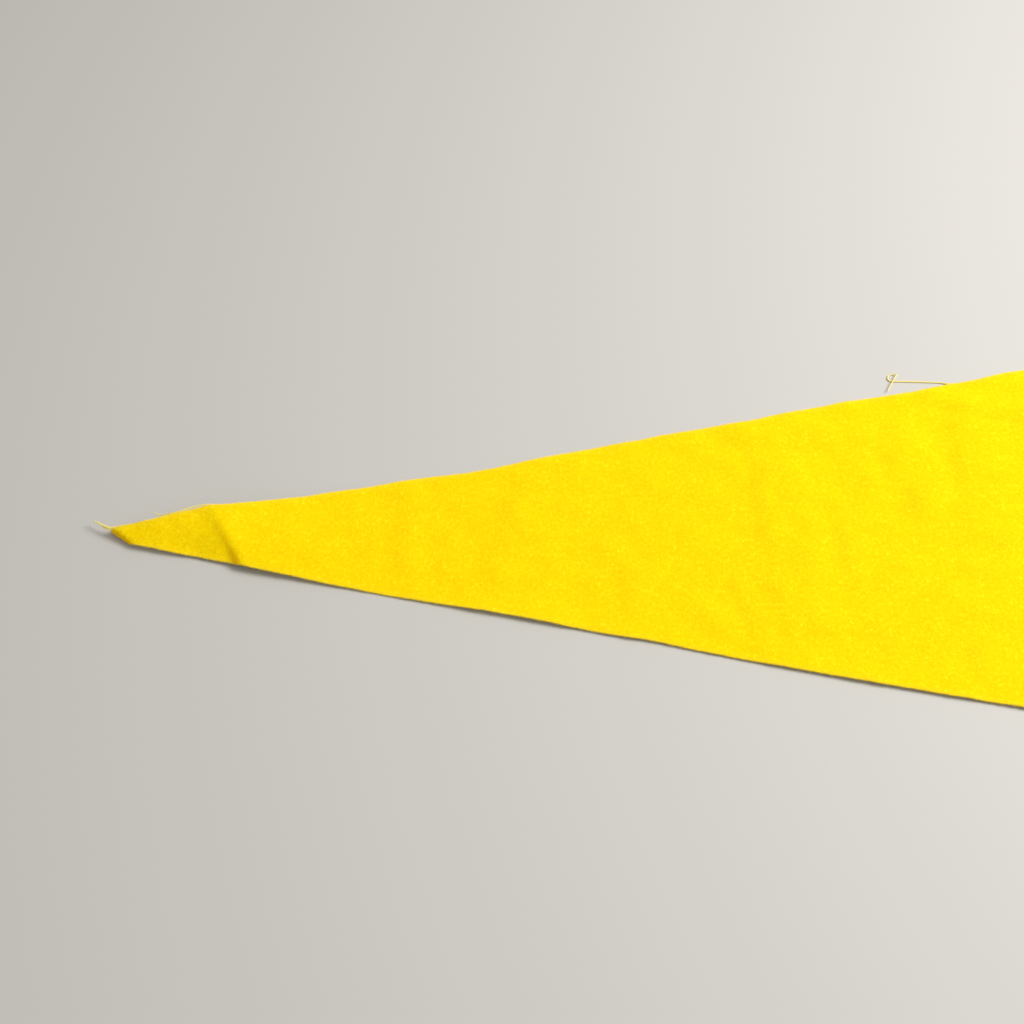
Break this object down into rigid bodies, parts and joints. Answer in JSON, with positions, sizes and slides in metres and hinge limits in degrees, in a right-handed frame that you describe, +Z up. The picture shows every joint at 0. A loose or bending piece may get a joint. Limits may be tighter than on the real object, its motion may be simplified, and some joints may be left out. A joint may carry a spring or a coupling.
{
  "type": "pennant flag",
  "caption": "Long triangular pennant of brushed cotton with raw cut edges, lying flat with a soft crease and a rolled point.",
  "frame": {"origin": "on the flat underside, in the middle of the triangle, two thirds of its length from the point", "axes": "+X along the middle towards the hoist end, +Y towards the far edge, +Z up from the surface that it lies on"},
  "size_m": [0.3199, 0.139, 0.0066],
  "materials": {
    "flannel": "brushed woven cotton, matt",
    "bare_yarn": "bare cotton yarn, matt"
  },
  "bodies": {
    "root": {"pennant_cloth": "flannel", "frayed_yarn_tip": "bare_yarn", "frayed_yarn_crease": "bare_yarn", "frayed_yarn_far_edge": "bare_yarn"}
  },
  "joints": []
}
